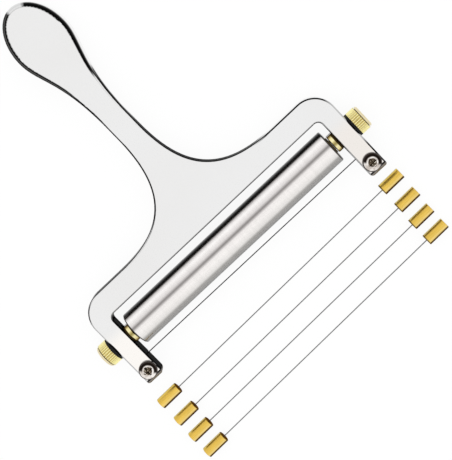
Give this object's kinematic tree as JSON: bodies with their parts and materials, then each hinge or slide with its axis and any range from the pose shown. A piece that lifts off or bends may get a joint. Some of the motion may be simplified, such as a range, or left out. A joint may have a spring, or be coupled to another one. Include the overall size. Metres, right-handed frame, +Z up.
{
  "type": "cheese slicer",
  "caption": "Hand-held wire cheese slicer: a polished fork-shaped casting with a paddle handle, a set-distance roller on a clamped axle, a taut cutting wire, and spare wires beside it.",
  "frame": {"origin": "on the table, under the middle of the whole set's bounding box", "axes": "+X along the roller, +Y from the wire towards the handle's tip, +Z up from the table"},
  "size_m": [0.1586, 0.207, 0.0165],
  "materials": {
    "chrome_casting": "bright plated, polished flat faces",
    "brushed_steel_tube": "turned and brushed round the tube",
    "steel_rod": "drawn rod",
    "steel_wire": "drawn stainless wire",
    "brass_bush": "turned",
    "brass_nut": "machined, bright",
    "brass_knob": "straight knurl, bright",
    "brass_ferrule": "drawn, lengthwise grain",
    "black_washer": "black nylon",
    "plate_steel": "ground",
    "chrome_screw": "bright plated"
  },
  "bodies": {
    "frame": {"frame_casting": "chrome_casting", "cutting_wire": "steel_wire", "wire_ferrule_left": "brass_ferrule", "wire_ferrule_right": "brass_ferrule", "clamp_plate_left": "plate_steel", "clamp_plate_right": "plate_steel"},
    "carriage": {"axle_rod": "steel_rod", "axle_nut_left": "brass_nut", "axle_nut_right": "brass_nut", "knob_washer_left": "black_washer", "knob_washer_right": "black_washer"},
    "roller": {"roller_tube": "brushed_steel_tube", "roller_bush_left": "brass_bush", "roller_bush_right": "brass_bush"},
    "left_knob": {"thumb_knob_left": "brass_knob"},
    "left_clamp_screw": {"clamp_screw_left": "chrome_screw"},
    "right_knob": {"thumb_knob_right": "brass_knob"},
    "right_clamp_screw": {"clamp_screw_right": "chrome_screw"},
    "spare_1": {"spare_wire_1": "steel_wire", "spare_ferrule_1_left": "brass_ferrule", "spare_ferrule_1_right": "brass_ferrule"},
    "spare_2": {"spare_wire_2": "steel_wire", "spare_ferrule_2_left": "brass_ferrule", "spare_ferrule_2_right": "brass_ferrule"},
    "spare_3": {"spare_wire_3": "steel_wire", "spare_ferrule_3_left": "brass_ferrule", "spare_ferrule_3_right": "brass_ferrule"},
    "spare_4": {"spare_wire_4": "steel_wire", "spare_ferrule_4_left": "brass_ferrule", "spare_ferrule_4_right": "brass_ferrule"}
  },
  "joints": [
    {"name": "thickness_slide", "type": "slide", "parent": "frame", "child": "carriage", "axis": [0, 1, 0], "range_m": [-0.0024, 0.0031]},
    {"name": "roller_spin", "type": "hinge", "parent": "carriage", "child": "roller", "pos_m": [0, -0.0355, 0.00825], "axis": [1, 0, 0], "continuous": true},
    {"name": "left_knob_turn", "type": "hinge", "parent": "carriage", "child": "left_knob", "pos_m": [-0.0737, -0.0355, 0.00825], "axis": [-1, 0, 0], "range_deg": [0, 720]},
    {"name": "left_screw_turn", "type": "hinge", "parent": "frame", "child": "left_clamp_screw", "pos_m": [-0.06805, -0.05245, 0.0125], "axis": [0, 0, 1], "range_deg": [0, 720]},
    {"name": "right_knob_turn", "type": "hinge", "parent": "carriage", "child": "right_knob", "pos_m": [0.0737, -0.0355, 0.00825], "axis": [1, 0, 0], "range_deg": [0, 720]},
    {"name": "right_screw_turn", "type": "hinge", "parent": "frame", "child": "right_clamp_screw", "pos_m": [0.06805, -0.05245, 0.0125], "axis": [0, 0, 1], "range_deg": [0, 720]},
    {"name": "spare_1_lift", "type": "slide", "parent": "frame", "child": "spare_1", "axis": [0, 0, 1], "range_m": [0, 0.05]},
    {"name": "spare_2_lift", "type": "slide", "parent": "frame", "child": "spare_2", "axis": [0, 0, 1], "range_m": [0, 0.05]},
    {"name": "spare_3_lift", "type": "slide", "parent": "frame", "child": "spare_3", "axis": [0, 0, 1], "range_m": [0, 0.05]},
    {"name": "spare_4_lift", "type": "slide", "parent": "frame", "child": "spare_4", "axis": [0, 0, 1], "range_m": [0, 0.05]}
  ]
}
